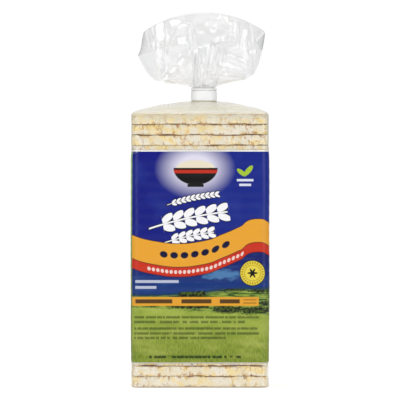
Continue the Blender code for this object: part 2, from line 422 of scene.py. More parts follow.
# The wave that runs round the wrap: distance round from the front's middle, and its height, as
# shares of two panels' width and of the run from WAVE_LOW up.
WAVE_LOW = 95.0
WAVE_RANGE = 24.0
WAVE_POINTS = (
    (0.0, 103.9), (0.09, 99.6), (0.17, 98.1), (0.25, 99.5), (0.337, 104.8), (0.4, 109.8),
    (0.466, 115.0), (0.5, 113.4), (0.58, 105.5), (0.68, 98.6), (0.78, 97.4), (0.9, 101.8),
    (1.0, 103.9),
)
ORANGE_DEPTH = 16.0
RED_DEPTH = 22.7

# The middle and the half sizes of each clump of leaves in the printed fields, in mm.
TREES_AND_HEDGES = (
    ((-10.4, 63.8), (4.6, 3.8)),
    ((-4.6, 64.6), (4.8, 4.4)),
    ((0.4, 63.4), (3.8, 3.7)),
    ((-7.0, 55.4), (15.0, 1.7)),
    ((19.0, 53.4), (11.0, 2.9)),
    ((38.0, 52.8), (12.0, 2.5)),
    ((45.0, 57.6), (6.0, 1.6)),
    ((22.0, 66.6), (9.0, 0.9)),
    ((42.0, 66.0), (10.0, 1.2)),
)


def printed_film(quarter):
    """The wrap's print: waves between a blue sky and a meadow, in plain fields and simple shapes.
    Its UV map holds the distance round from the front's middle and the height, in decimetres."""
    r = Recipe("printed_film")
    uv = r.add("SeparateXYZ", [(0, r.add("UVMap", uv_map="wrap").outputs[0])])
    u = r.times(uv.outputs[0], 100.0)
    v = r.times(uv.outputs[1], 100.0)
    place = r.add("CombineXYZ", [(0, u), (1, v)]).outputs[0]
    panel = r.math("WRAP", u, quarter, -quarter)
    over = r.minus(v, wave_height(r, u, quarter))
    lean = r.math("SINE", r.times(panel, math.pi / quarter))
    art = landscape(r, place, panel, v, lean, -0.5 * quarter - PANEL_SHIFT)
    art = r.mix(r.ramp(over, -0.15, 0.15), art, blue_sky(r, place, panel, v, lean))
    art = waves(r, art, panel, over)
    left_side = r.band(u, -1.5 * quarter - PANEL_SHIFT, -0.5 * quarter - PANEL_SHIFT, 0.12)
    art = r.mix(left_side, art, green_side(r, place, u, v, quarter))
    # The bare edges are unprinted film: the top one's near-white is a painted highlight along the
    # wrap's edge, and the bottom one is painted greyer.
    for edge, past, bare_and_highlight in (
        (LABEL_TOP / MM, 0.1, ink(250, 247, 242)),
        (LABEL_BOTTOM / MM, -0.1, ink(216, 212, 200)),
    ):
        art = r.mix(r.ramp(v, edge - past, edge + past), art, bare_and_highlight)
    wrinkles = r.drawn(place, 1.0, 0.35, 0.12, 3.0)
    return r.finished(art, 0.3, r.bump(wrinkles, 0.0012, 0.25), 0.25)


def wave_height(r, u, quarter):
    """The height of the waves' top edge at each distance round."""
    sway = r.math("WRAP", u, 1.5 * quarter, -0.5 * quarter)
    curve = r.add("FloatCurve", [("Value", r.ramp(sway, -0.5 * quarter, 1.5 * quarter))])
    points = curve.mapping.curves[0].points
    while len(points) < len(WAVE_POINTS):
        points.new(0.5, 0.5)
    for point, (share, height) in zip(points, WAVE_POINTS):
        point.location = (share, (height - WAVE_LOW) / WAVE_RANGE)
    curve.mapping.update()
    return r.scaled(curve.outputs[0], WAVE_RANGE, WAVE_LOW)


def blue_sky(r, place, u, v, lean):
    """Deep blue with a pale glow, a bowl of grains in the glow, and three ears of grain."""
    blue = r.mix(r.ramp(lean, -1.0, 1.0), ink(35, 45, 131), ink(43, 54, 139))
    blue = r.mix(r.ramp(r.noise(place, 0.045, 2.0), 0.45, 0.8), blue, ink(52, 66, 148))
    glow = r.ramp(ellipse(r, u, v, (-3.4, 149.0), (28.0, 21.0)), 1.0, 0.4)
    blue = r.mix(r.math("POWER", glow, 1.25), blue, ink(228, 225, 241))
    dark, pale, red = ink(26, 20, 40), ink(250, 249, 252), ink(196, 62, 50)
    brim = (-3.0, 149.5)
    heap = ellipse(r, u, v, brim, (13.0, 5.2))
    blue = r.mix(r.ramp(heap, 1.03, 0.97), blue, ink(238, 228, 204))
    bowl = r.ramp(ellipse(r, u, v, brim, (15.0, 11.5)), 1.02, 0.98)
    bowl = r.times(bowl, r.ramp(v, brim[1] + 0.1, brim[1] - 0.1))
    blue = r.mix(bowl, blue, dark)
    blue = r.mix(r.times(bowl, r.band(v, 145.9, 148.2, 0.15)), blue, red)
    blue = r.mix(r.patch(u, v, -8.5, 2.5, 136.6, 138.6, 0.15), blue, dark)
    for middle, reach, seed, pitch in (
        ((-3.0, 129.5), 17.0, (1.7, 0.75), 3.3),
        ((-3.0, 116.5), 29.5, (4.6, 2.35), 7.6),
        ((-4.5, 103.8), 19.0, (3.0, 1.45), 5.0),
    ):
        for widen, colour in ((0.55, dark), (0.0, pale)):
            shape = ear_of_grain(r, u, v, middle, reach, seed, pitch, widen)
            blue = r.mix(shape, blue, colour)
    leaf_one = leaf(r, u, v, (28.2, 146.4), (3.8, 1.5), -38.0)
    leaf_two = leaf(r, u, v, (32.8, 147.6), (4.4, 1.7), 50.0)
    blue = r.mix(r.math("MAXIMUM", leaf_one, leaf_two), blue, ink(168, 200, 66))
    for low, half in ((140.4, 5.6), (137.2, 4.0)):
        bar = r.patch(u, v, 30.6 - half, 30.6 + half, low, low + 1.6, 0.15)
        blue = r.mix(bar, blue, ink(222, 226, 240))
    return blue


def landscape(r, place, u, v, lean, left_edge):
    """Under the waves: sky, hills and a meadow, with the bar, the rules and the disc on them."""
    horizon = r.scaled(r.noise(place, 0.08, 3.0), 3.0, 64.6)
    horizon = r.scaled(lean, 2.4, horizon)
    depth = r.minus(horizon, v)
    speckle = r.drawn(place, 1.0, 1.2, 0.55, 3.0)
    land = hedged_fields(r, place, u, v, depth, speckle)
    rise = r.minus(v, r.scaled(lean, -2.6, 52.3))
    clumps = r.scaled(speckle, 3.0, rise)
    land = r.mix(r.ramp(clumps, 2.2, 0.6), land, meadow(r, place, v))
    ground = r.mix(r.ramp(depth, -0.25, 0.25), evening_sky(r, place, u, v), land)
    ground = r.mix(small_print(r, place, u, v), ground, ink(52, 68, 24), 0.9)
    bar = r.patch(u, v, left_edge, 39.8, 55.8, 61.8, 0.15)
    ground = r.mix(bar, ground, ink(232, 166, 62))
    for middle, half in ((-31.4, 12.6), (-2.4, 10.2), (20.2, 6.8)):
        mark = r.patch(u, v, middle - half, middle + half, 57.5, 60.3, 0.3)
        ground = r.mix(mark, ground, ink(44, 34, 30), 0.9)
    for low in (57.3, 59.5):
        mark = r.patch(u, v, 29.4, 38.4, low, low + 0.9, 0.2)
        ground = r.mix(mark, ground, ink(120, 84, 40), 0.6)
    for low, end in ((71.4, -14.5), (67.4, -29.5)):
        mark = r.patch(u, v, -44.0, end, low, low + 1.9, 0.2)
        ground = r.mix(mark, ground, ink(214, 220, 238), 0.75)
    return grain_disc(r, u, v, ground)


def evening_sky(r, place, u, v):
    """Night-blue sky with faint streaks and one pale blue cloud."""
    sky = r.mix(r.ramp(v, 94.0, 66.0), ink(30, 38, 106), ink(42, 66, 128))
    streak = r.ramp(r.drawn(place, 0.5, 2.6, 0.1, 4.0), 0.52, 0.7)
    sky = r.mix(streak, sky, ink(66, 104, 164), 0.3)
    cloud = ellipse(r, u, v, (15.0, 77.0), (16.0, 4.6))
    drift = r.drawn(place, 1.0, 1.8, 0.16, 4.0)
    cloud = r.ramp(r.scaled(drift, -1.6, cloud), 0.15, -0.35)
    return r.mix(cloud, sky, ink(92, 140, 186), 0.8)


def hedged_fields(r, place, u, v, depth, speckle):
    """Far hills that turn from blue to green, with pale fields, trees and hedges on them."""
    land = r.mix(r.ramp(depth, 0.4, 2.8), ink(36, 66, 98), ink(58, 88, 48))
    pale = r.ramp(r.drawn(place, 0.45, 3.6, 0.24, 4.0), 0.42, 0.58)
    land = r.mix(r.times(pale, r.ramp(depth, 1.0, 2.8)), land, ink(150, 170, 78))
    leaves = r.mix(r.ramp(speckle, 0.4, 0.7), ink(18, 32, 18), ink(92, 114, 52))
    for at, size in TREES_AND_HEDGES:
        clump = r.scaled(speckle, 1.1, ellipse(r, u, v, at, size))
        land = r.mix(r.ramp(clump, 1.6, 1.35), land, leaves)
    return land


def meadow(r, place, v):
    """Mown grass in light and dark swells, with its blades plainer in the foreground."""
    near = r.ramp(v, 42.0, 24.0)
    blades = r.drawn(place, 1.0, 0.25, 1.2, 3.0)
    grass = r.mix(r.ramp(v, 53.0, 20.0), ink(168, 184, 84), ink(144, 160, 66))
    sway = r.times(r.ramp(blades, 0.4, 0.62), r.scaled(near, 0.4, 0.16))
    grass = r.mix(sway, grass, ink(84, 106, 38))
    swells = r.drawn(place, 0.5, 1.3, 0.08, 2.0)
    grass = r.mix(r.ramp(swells, 0.5, 0.7), grass, ink(186, 192, 104), 0.5)
    return r.mix(r.ramp(swells, 0.48, 0.3), grass, ink(106, 134, 52), 0.45)


def grain_disc(r, u, v, ground):
    """A yellow disc with a dark edge, a ring of dots, an inner ring, and crossed grains."""
    middle = (35.6, 78.1)
    dot_ring, dot_count = 7.0, 26
    for outer, fill in (
        (8.8, ink(30, 30, 34)),
        (8.3, ink(232, 210, 76)),
        (5.6, ink(190, 166, 62)),
        (5.1, ink(234, 214, 82)),
    ):
        disc = ellipse(r, u, v, middle, (outer, outer))
        ground = r.mix(r.ramp(disc, 1.02, 0.98), ground, fill)
    turn = r.math("ARCTAN2", r.minus(v, middle[1]), r.minus(u, middle[0]))
    from_ring = r.minus(ellipse(r, u, v, middle, (1.0, 1.0)), dot_ring)
    pitch = TAU * dot_ring / dot_count
    seat = r.minus(r.math("WRAP", r.times(turn, dot_ring), pitch, 0.0), pitch / 2)
    dots = r.ramp(ellipse(r, seat, from_ring, (0.0, 0.0), (0.5, 0.85)), 1.2, 0.8)
    ground = r.mix(dots, ground, ink(150, 126, 46), 0.7)
    for degrees in (60.0, -60.0, 0.0):
        grain = leaf(r, u, v, middle, (3.6, 0.75), degrees)
        ground = r.mix(grain, ground, ink(40, 36, 34))
    return ground


def waves(r, art, u, over):
    """The orange and the red wave with their dark outlines, and the grains on them."""
    orange, red, outline = ink(236, 168, 62), ink(204, 62, 48), ink(60, 34, 48)
    art = r.mix(r.band(over, -RED_DEPTH, -ORANGE_DEPTH, 0.15), art, red)
    art = r.mix(r.band(over, -ORANGE_DEPTH, 0.0, 0.15), art, orange)
    for edge in (0.0, -ORANGE_DEPTH, -RED_DEPTH):
        line = r.band(over, edge - 0.28, edge + 0.28, 0.12)
        art = r.mix(line, art, outline, 0.8)
    from_red = r.plus(over, (ORANGE_DEPTH + RED_DEPTH) / 2)
    from_orange = r.plus(over, ORANGE_DEPTH / 2)
    small = row_of_shapes(r, u, from_red, 3.0, (1.1, 1.3), -36.0, 30.0)
    art = r.mix(small, art, ink(244, 222, 214), 0.9)
    large = row_of_shapes(r, u, from_orange, 7.0, (2.6, 2.2), -28.0, 21.0)
    return r.mix(large, art, ink(34, 28, 66))


def green_side(r, place, u, v, quarter):
    """The left side panel: grey-green, with a pale table and rows of dashes."""
    side = r.mix(r.ramp(v, 150.0, 60.0), ink(150, 184, 118), ink(122, 138, 72))
    across = r.plus(u, quarter)
    panel = r.patch(across, v, -30.0, 30.0, 62.0, 122.0, 0.15)
    side = r.mix(panel, side, ink(214, 222, 196), 0.8)
    rows = r.band(r.math("PINGPONG", v, 2.4), 1.9, 3.0, 0.2)
    reach = r.math("MAXIMUM", r.band(v, 66.0, 118.0, 0.3), r.band(v, 30.0, 54.0, 0.3))
    rows = r.times(r.times(rows, reach), r.band(across, -26.0, 26.0, 0.3))
    words = r.ramp(r.drawn(place, 1.0, 0.25, 0.32, 1.0), 0.38, 0.44)
    return r.mix(r.times(rows, words), side, ink(70, 84, 62), 0.6)


def ellipse(r, u, v, middle, radii):
    """The distance from an ellipse's middle, which is 1 on its outline."""
    across = r.math("DIVIDE", r.minus(u, middle[0]), radii[0])
    up = r.math("DIVIDE", r.minus(v, middle[1]), radii[1])
    return r.math("SQRT", r.plus(r.math("POWER", across, 2.0), r.math("POWER", up, 2.0)))


def turned(r, u, v, middle, degrees):
    """The distances along and across a line through middle that rises at that angle."""
    c, s = math.cos(math.radians(degrees)), math.sin(math.radians(degrees))
    du = r.minus(u, middle[0])
    dv = r.minus(v, middle[1])
    along = r.plus(r.times(du, c), r.times(dv, s))
    across = r.minus(r.times(dv, c), r.times(du, s))
    return along, across


def leaf(r, u, v, middle, radii, degrees):
    """One grain or leaf: a slim ellipse turned by an angle."""
    along, across = turned(r, u, v, middle, degrees)
    return r.ramp(ellipse(r, along, across, (0.0, 0.0), radii), 1.08, 0.92)


def ear_of_grain(r, u, v, middle, reach, seed, pitch, widen):
    """A plain ear: two rows of leaning grains on a stalk that rises to the right."""
    along, across = turned(r, u, v, middle, 11.0)
    across = r.scaled(r.math("POWER", along, 2.0), 0.06 / reach, across)
    seat = r.minus(r.math("WRAP", along, pitch, 0.0), pitch / 2)
    side = r.minus(r.math("ABSOLUTE", across), seed[1] * 1.45)
    lean_along, lean_across = turned(r, seat, side, (0.0, 0.0), 24.0)
    grain = ellipse(r, lean_along, lean_across, (0.0, 0.0), (seed[0] + widen, seed[1] + widen))
    count = math.floor(reach / pitch)
    grains = r.times(r.ramp(grain, 1.05, 0.95), r.band(along, -count * pitch, count * pitch, 0.1))
    stalk_half = 0.12 * seed[0] + widen
    stalk = r.band(across, -stalk_half, stalk_half, 0.12)
    stalk = r.times(stalk, r.band(along, -reach - 3.0 - widen, count * pitch - 1.0, 0.3))
    return r.math("MAXIMUM", grains, stalk)


def row_of_shapes(r, u, v, pitch, radii, start, end):
    """A row of small ellipses along v = 0, between two multiples of the pitch."""
    seat = r.minus(r.math("WRAP", u, pitch, 0.0), pitch / 2)
    shape = r.ramp(ellipse(r, seat, v, (0.0, 0.0), radii), 1.1, 0.9)
    first, last = math.ceil(start / pitch) * pitch, math.floor(end / pitch) * pitch
    return r.times(shape, r.band(u, first, last, 0.05))


def small_print(r, place, u, v):
    """Rows of short dashes low on the panel for small print, and a bolder row under them."""
    dashes = r.ramp(r.drawn(place, 1.0, 0.25, 0.5, 1.0), 0.36, 0.44)
    rows = 0.0
    for low, end in ((47.2, 40.0), (44.0, 30.5), (39.6, 39.0), (36.2, 40.0), (33.2, 17.5)):
        rows = r.math("MAXIMUM", r.patch(u, v, -44.8, end, low, low + 1.7, 0.3), rows)
    foot = r.times(r.band(v, 20.2, 22.0, 0.2), r.band(u, -34.6, 27.8, 0.3))
    return r.times(r.math("MAXIMUM", r.times(rows, 0.7), foot), dashes)


# ---------- shapes

def finish_mesh(bm, name, material):
    """The bmesh as a finished piece at the origin, riding with the bag."""
    mesh = bpy.data.meshes.new(name)
    bm.to_mesh(mesh)
    bm.free()
    mesh.shade_smooth()
    mesh.materials.append(material)
    piece = bpy.data.objects.new(name, mesh)
    bpy.context.scene.collection.objects.link(piece)
    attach(piece, "root")
    return piece


def section_point(turn, centre_x, half_x, half_y, radius):
    """A point on a rounded rectangle, given the share of the way round from its front middle."""
    radius = min(radius, half_x, half_y)
    quarter_length = half_x + half_y - 2 * radius + radius * math.pi / 2
    quarter, share = divmod((turn % 1.0) * 4, 1)
    along = (1 - share if quarter % 2 else share) * quarter_length
    flat = half_x - radius
    if along <= flat:
        x, y = along, half_y
    elif along <= flat + radius * math.pi / 2:
        angle = (along - flat) / radius
        x = flat + radius * math.sin(angle)
        y = half_y - radius + radius * math.cos(angle)
    else:
        x = half_x
        y = half_y - radius - (along - flat - radius * math.pi / 2)
    sign_x = 1 if quarter in (0, 1) else -1
    sign_y = -1 if quarter in (0, 3) else 1
    return Vector((centre_x + sign_x * x, sign_y * y))


def rolled_sheet(around, up, place, haze_at=None):
    """A sheet of film rolled into a tube and welded: place(turn, rise) gives each point, and
    haze_at(rise, point) how cloudy it is there."""
    bm = bmesh.new()
    bmesh.ops.create_grid(bm, x_segments=around, y_segments=up, size=0.5)
    sheet_map = bm.loops.layers.uv.new("wrap")
    for face in bm.faces:
        for loop in face.loops:
            loop[sheet_map].uv = (loop.vert.co.x + 0.5, loop.vert.co.y + 0.5)
    haze = bm.verts.layers.float.new("haze")
    for vertex in bm.verts:
        rise = vertex.co.y + 0.5
        vertex.co = place(vertex.co.x + 0.5, rise)
        if haze_at:
            vertex[haze] = haze_at(rise, vertex.co)
    bmesh.ops.remove_doubles(bm, verts=bm.verts, dist=1e-6)
    return bm, sheet_map


def triangle_wave(angle):
    """A wave of straight ramps and sharp folds, from -1 to 1."""
    return 2 / math.pi * math.asin(math.sin(angle))


def facets(point, size, seed):
    """Crumpled film's height, about 0 to 1: flat facets that meet in sharp creases."""
    spot = Vector(point) / size + Vector((seed, seed * 0.7, seed * 1.3))
    distances = noise.voronoi(spot)[0]
    return min(1.0, distances[1] - distances[0])


def lerp_table(value, table):
    """The row of a table between the two rows whose first entries lie round value."""
    for low, high in zip(table, table[1:]):
        if value <= high[0]:
            share = (value - low[0]) / (high[0] - low[0])
            return [a + (b - a) * share for a, b in zip(low, high)]
    return list(table[-1])


# ---------- rice cakes

def grain_relief(place, outward):
    """How far the puffed grains stand out at a place on a cake."""
    spot = place * 230.0 + noise.noise_vector(place * 260.0) * 0.5
    distances = noise.voronoi(spot)[0]
    swell = min(1.0, (distances[1] - distances[0]) * 1.6)
    face = 0.55 if abs(outward.z) > 0.6 else 0.4
    return (swell - 0.75) * face * MM + noise.noise(place * 60.0) * 0.25 * MM


def cake_blank(half, thickness, cuts):
    """A flat square block with round corners, cut into a grid along each axis."""
    bm = bmesh.new()
    bmesh.ops.create_cube(bm, size=1.0)
    for axis, count in enumerate(cuts):
        edges = [e for e in bm.edges if abs((e.verts[1].co - e.verts[0].co)[axis]) > 1e-4]
        bmesh.ops.subdivide_edges(bm, edges=edges, cuts=count, use_grid_fill=True)
    inner = half - CAKE_CORNER
    for vertex in bm.verts:
        x, y, z = vertex.co.x * 2 * half, vertex.co.y * 2 * half, vertex.co.z * thickness
        past_x, past_y = abs(x) - inner, abs(y) - inner
        if past_x > 0 and past_y > 0:
            pull = max(past_x, past_y) / math.hypot(past_x, past_y)
            x = math.copysign(inner + past_x * pull, x)
            y = math.copysign(inner + past_y * pull, y)
        vertex.co = (x, y, z)
    bm.normal_update()
    return bm


def rice_cake(number, material):
    """One square puffed cake, a little out of line with its neighbours."""
    dice = random.Random(100 + number)
    half = CAKE_HALF + dice.uniform(-0.3, 0.15) * MM
    thickness = CAKE_THICKNESS - dice.uniform(0.0, 0.12) * MM
    relief = dice.uniform(0.8, 1.5)
    bm = cake_blank(half, thickness, (95, 95, 8) if number in FINE_CAKES else (17, 17, 2))
    offset = Vector((dice.uniform(-1, 1), dice.uniform(-1, 1), dice.uniform(-1, 1))) * 0.3
    grain_layer = bm.verts.layers.float_vector.new("grain_place")
    rim_layer = bm.verts.layers.float.new("rim")
    for vertex in bm.verts:
        own = vertex.co.copy()
        vertex[grain_layer] = own + offset
        near_face = 2 * abs(own.z) / thickness
        from_side = half - max(abs(own.x), abs(own.y))
        at_seam = max(0.0, 1 - from_side / SEAM_REACH)
        chipped = max(0.0, 1.7 * noise.noise((own + offset) * 100.0) - 0.04)
        open_seam = 0.72 + 0.28 * min(1.0, chipped / 0.08)
        # rim: how near a vertex lies to the seam with the next cake, more where the seam is chipped
        # open; the cake's material lays toasted spots and painted seam shade by it.
        vertex[rim_layer] = max(0.0, (near_face - 0.45) / 0.55) * at_seam * open_seam
        at_side = from_side < CHIP_REACH
        if near_face > 0.99 and at_side:
            push = -min(DEEPEST_CHIP, chipped) * MM
        else:
            push = grain_relief(own + offset, vertex.normal) * relief
        broken = number == BROKEN_CAKE and own.x < BROKEN_FROM and own.y < 0 and own.z > 0
        if broken and at_side:
            push -= max(0.0, noise.noise(own * 420.0)) * BROKEN_DEPTH
        vertex.co = own + vertex.normal * push
    turn = Matrix.Rotation(math.radians(dice.uniform(-0.35, 0.35)), 4, "Z")
    tilt = Matrix.Rotation(math.radians(dice.uniform(-0.06, 0.06)), 4, "Y")
    height = BASE_FOLDS + (number - 0.5) * CAKE_PITCH
    shift = Vector((dice.uniform(-0.3, 0.3) * MM, dice.uniform(-0.3, 0.3) * MM, height))
    bmesh.ops.transform(bm, matrix=Matrix.Translation(shift) @ turn @ tilt, verts=bm.verts)
    piece = finish_mesh(bm, f"rice_cake_{number:02d}", material)
    return piece


# ---------- film

def wrap_skin(turn, height):
    """The printed wrap's surface, drawn snug over the cakes with a few slack wrinkles."""
    point = section_point(turn, 0.0, WRAP_SKIN_HALF, WRAP_SKIN_HALF, WRAP_CORNER)
    middle = 0.5 * (LABEL_BOTTOM + LABEL_TOP)
    reach = abs(height - middle) / (LABEL_TOP - middle)
    slack = 0.25 * MM * (1 - reach ** 4)
    ridge = 0.06 * MM * math.cos(TAU * (height - BASE_FOLDS) / CAKE_PITCH)
    wrinkle = 0.35 * MM * (facets((point.x, point.y, height * 0.4), 30 * MM, 3.0) - 0.5)
    outward = Vector((point.x, point.y)).normalized()
    edge = 0.35 * MM * max(0.0, reach - 0.97) / 0.03
    point = point + outward * (slack - ridge + wrinkle - edge)
    return Vector((point.x, point.y, height))


def printed_wrap():
    """The printed band of film round the stack, with a bare edge above and below, the top one
    painted near-white as a highlight.
    """
    foot = LABEL_BOTTOM - BARE_EDGE / 2
    tall = LABEL_TOP + BARE_EDGE - foot
    bm, sheet_map = rolled_sheet(300, 120, lambda turn, rise: wrap_skin(turn, foot + rise * tall))
    quarter = (2 * WRAP_SKIN_HALF - 2 * WRAP_CORNER + WRAP_CORNER * math.pi / 2) / MM
    for face in bm.faces:
        past_seam = max(loop[sheet_map].uv.x for loop in face.loops) > 0.5 + 1e-4
        for loop in face.loops:
            turn, rise = loop[sheet_map].uv
            turn = turn - 1.0 if past_seam else turn
            height = (foot + rise * tall) / MM
            loop[sheet_map].uv = (turn * 4 * quarter / 100, height / 100)
    piece = finish_mesh(bm, "printed_wrap", printed_film(quarter))
    return piece


def dome_point(turn, rise):
    """The clear film over the top cake, drawn in from the square shoulder to the round neck."""
    drawn_in = rise ** DOME_POWER
    half_x = FILM_HALF + (NECK_HALF_X - FILM_HALF) * drawn_in
    half_y = FILM_HALF + (NECK_HALF_Y - FILM_HALF) * drawn_in
    radius = FILM_CORNER + (half_y - FILM_CORNER) * drawn_in
    point = section_point(turn, NECK_X * drawn_in, half_x, half_y, radius)
    height = DOME_BOTTOM + (BAND_LOW.z + 0.4 * MM - DOME_BOTTOM) * rise
    middle = Vector((NECK_X * drawn_in, 0.0))
    outward = (point - middle).normalized()
    gather = math.sin(math.pi * min(1.0, drawn_in ** 0.8))
    fold = triangle_wave(TAU * 17 * turn + 1.3 * math.sin(TAU * 3 * turn))
    fold += 0.5 * triangle_wave(TAU * 29 * turn + 2.0)
    dent = facets((point.x, point.y, height), 17 * MM, 5.0) - 0.5
    point = point + outward * gather * (fold * 0.7 - 0.8) * MM
    return Vector((point.x, point.y, height + (dent * 0.9 - 0.35) * MM * min(1.0, drawn_in * 8)))


def clear_top(turn, rise):
    """From behind the wrap's top edge up the clear stretch, over the dome and through the tape."""
    at_shoulder, at_neck = 0.42, 0.93
    low = LABEL_TOP - FILM_UNDER_LABEL
    if rise < at_shoulder:
        return side_skin(turn, low + (DOME_BOTTOM - low) * rise / at_shoulder)
    if rise < at_neck:
        return dome_point(turn, (rise - at_shoulder) / (at_neck - at_shoulder))
    point = dome_point(turn, 1.0)
    point.z += (rise - at_neck) / (1 - at_neck) * (FAN_BOTTOM - point.z)
    return point


def top_haze(_, point):
    """How cloudy the film is: most at the shoulder and in the folds by the neck, little between."""
    below = 1 - (DOME_BOTTOM + 1.2 * MM - point.z) / (4.0 * MM)
    above = 0.85 - 0.6 * min(1.0, (point.z - DOME_BOTTOM) / (2.5 * MM))
    gathered = 1 - (Vector((point.x - NECK_X, point.y)).length - 8 * MM) / (14 * MM)
    return max(0.0, min(1.0, below, max(above, 0.8 * gathered)))


def side_skin(turn, height):
    """The clear film against the cakes' sides: it dips where two cakes meet."""
    seam = abs((height - BASE_FOLDS) / CAKE_PITCH - round((height - BASE_FOLDS) / CAKE_PITCH))
    dip = 0.15 * MM * max(0.0, 1 - seam / 0.2)
    point = section_point(turn, 0.0, FILM_HALF, FILM_HALF, FILM_CORNER)
    outward = point.normalized()
    crease = 0.3 * MM * (facets((point.x, point.y, height), 11 * MM, 9.0) - 0.5)
    point = point + outward * (crease - dip)
    return Vector((point.x, point.y, height))


def clear_foot(turn, rise):
    """From behind the wrap's bottom edge down to the base and in under it."""
    at_bend, at_base = 0.55, 0.75
    top = LABEL_BOTTOM + FILM_UNDER_LABEL
    bend, lift = 2.0 * MM, 0.05 * MM
    if rise < at_bend:
        return side_skin(turn, top + (bend - top) * rise / at_bend)
    if rise < at_base:
        angle = (rise - at_bend) / (at_base - at_bend) * math.pi / 2
        drawn_in = bend * (1 - math.cos(angle))
        half, corner = FILM_HALF - drawn_in, FILM_CORNER - drawn_in * 0.5
        height = max(bend * (1 - math.sin(angle)), lift)
    else:
        half = (FILM_HALF - bend) * (1 - (rise - at_base) / (1 - at_base))
        corner, height = min(half, FILM_CORNER), lift
    point = section_point(turn, 0.0, half, half, corner)
    return Vector((point.x, point.y, height))


def from_fold(x, z, fold):
    """The distance of a place from a straight fold, in mm."""
    x0, z0, x1, z1 = fold[:4]
    along = Vector((x1 - x0, z1 - z0))
    share = Vector((x - x0, z - z0)).dot(along) / along.length_squared
    share = max(0.0, min(1.0, share))
    return math.hypot(x - x0 - along.x * share, z - z0 - along.y * share)


def fold_height(x, z, folds):
    """How far the film stands out at a place, in mm, from a list of straight folds."""
    return sum(fold[4] * max(0.0, 1 - from_fold(x, z, fold) / fold[5]) for fold in folds)


def fan_rim(sideways, front):
    """The height of the fan's top edge: highest in the middle, and lower at the two sides."""
    rim = RIM_TOP + 0.3 * MM - (RIM_TOP - RIM_SIDE) * sideways ** RIM_POWER
    return rim - (FRONT_RIM_DROP * (1 - sideways ** 1.5) if front else 0.0)


def fan_point(turn, rise):
    """The loose film over the tape: gathered at the neck, puffed out above, open at the top."""
    side_height = FAN_SECTIONS[0][0] + (FAN_SECTIONS[-1][0] - FAN_SECTIONS[0][0]) * rise ** 1.35
    _, left, right, depth = lerp_table(side_height, FAN_SECTIONS)
    centre = (left + right) / 2
    half_x = (right - left) / 2
    point = section_point(turn, centre * MM, half_x * MM, depth * MM, depth * MM)
    sideways = min(1.0, abs(point.x / MM - centre) / half_x)
    share = (side_height * MM - FAN_BOTTOM) / (RIM_SIDE - FAN_BOTTOM)
    front = point.y < 0
    height = FAN_BOTTOM + share * (fan_rim(sideways, front) - FAN_BOTTOM)
    x, z = point.x / MM, height / MM
    opened = min(1.0, share * 4)
    gathers = triangle_wave(TAU * 26 * turn + 2.2 * math.sin(TAU * 2 * turn))
    bulge = gathers * 1.1 * max(0.0, 1 - share * 2.2) * min(1.0, share * 9)
    bulge += creased(x, z, 0.0 if front else 65.0) * opened * (1.0 if front else 2.0)
    calm = ellipse_share(x, z, CALM_LEFT) * ellipse_share(x, z, CALM_RIGHT) if front else 0.8
    bulge = bulge * calm + (fold_height(x, z, FRONT_FOLDS) * opened if front else 0.0)
    bulge = (bulge - SLACK * opened) * (1 - sideways ** 6)
    if front:
        bulge = pressed_flat(x, z, point.y / MM, bulge, FAN_SEATS)
    depth_way = -1 if front else 1
    return Vector((point.x, point.y + depth_way * bulge * MM, height))


def fan_face(x, z):
    """How far forward the front of the fan stands at a place, in mm, as y."""
    side_height = z
    for _ in range(12):
        _, left, right, depth = lerp_table(side_height, FAN_SECTIONS)
        centre, half_x = (left + right) / 2, (right - left) / 2
        sideways = min(1.0, abs(x - centre) / half_x)
        share = (z * MM - FAN_BOTTOM) / (fan_rim(sideways, True) - FAN_BOTTOM)
        side_height = FAN_BOTTOM / MM + share * (RIM_SIDE - FAN_BOTTOM) / MM
    past_flat = max(0.0, abs(x - centre) - (half_x - depth))
    return SLACK - math.sqrt(max(0.0, depth ** 2 - past_flat ** 2))


def bunch_size(spread):
    """The bunch's middle and its half width and depth, in mm, as it opens out."""
    half_x = NECK_HALF_X / MM - 0.6 + 4.0 * spread
    half_y = NECK_HALF_Y / MM - 0.6 + 4.0 * spread
    return NECK_X / MM + 5.0 * spread, half_x, half_y


def bunch_face(x, z):
    """How far forward the bunch's front stands at a place, in mm, as y."""
    spread = ((z - FAN_BOTTOM / MM) / BUNCH_TALL) ** 0.8
    centre, half_x, half_y = bunch_size(spread)
    past_flat = max(0.0, abs(x - centre) - (half_x - half_y))
    return -math.sqrt(max(0.0, half_y ** 2 - past_flat ** 2))


def inside(x, z, corners, soft):
    """1 well inside a shape with straight sides, and 0 outside it, in either order of corners."""
    middle = Vector((sum(c[0] for c in corners), sum(c[1] for c in corners))) / len(corners)
    least = 1.0
    for here, there in zip(corners, corners[1:] + corners[:1]):
        along = (Vector(there) - Vector(here)).normalized()
        away = along.x * (z - here[1]) - along.y * (x - here[0])
        own_side = along.x * (middle.y - here[1]) - along.y * (middle.x - here[0])
        least = min(least, math.copysign(1.0, own_side) * away / soft + 0.5)
    return max(0.0, least)


def seated(plates, face_at):
    """Each plate with its middle, its slopes to the right and up, and how far forward it stands."""
    seats = []
    for facing, *numbers in plates:
        corners = list(zip(numbers[::2], numbers[1::2]))
        to_right, up = (math.radians(angle) for angle in facing)
        middle_x = sum(c[0] for c in corners) / len(corners)
        middle_z = sum(c[1] for c in corners) / len(corners)
        slopes = math.tan(to_right), math.tan(up) / math.cos(to_right)
        seats.append((corners, middle_x, middle_z, *slopes, face_at(middle_x, middle_z)))
    return seats


def pressed_flat(x, z, face, bulge, seats):
    """The film's rise at a place once its flat plates are pressed into it, in mm."""
    for corners, middle_x, middle_z, slope_x, slope_z, forward in seats:
        if abs(x - middle_x) < PLATE_REACH and abs(z - middle_z) < PLATE_REACH:
            share = inside(x, z, corners, 0.9)
            flat = forward + slope_x * (x - middle_x) + slope_z * (z - middle_z)
            bulge += share * (face - flat - bulge)
    return bulge


FAN_SEATS = seated(PLATES, fan_face)
BUNCH_SEATS = seated(BUNCH_PLATES, bunch_face)


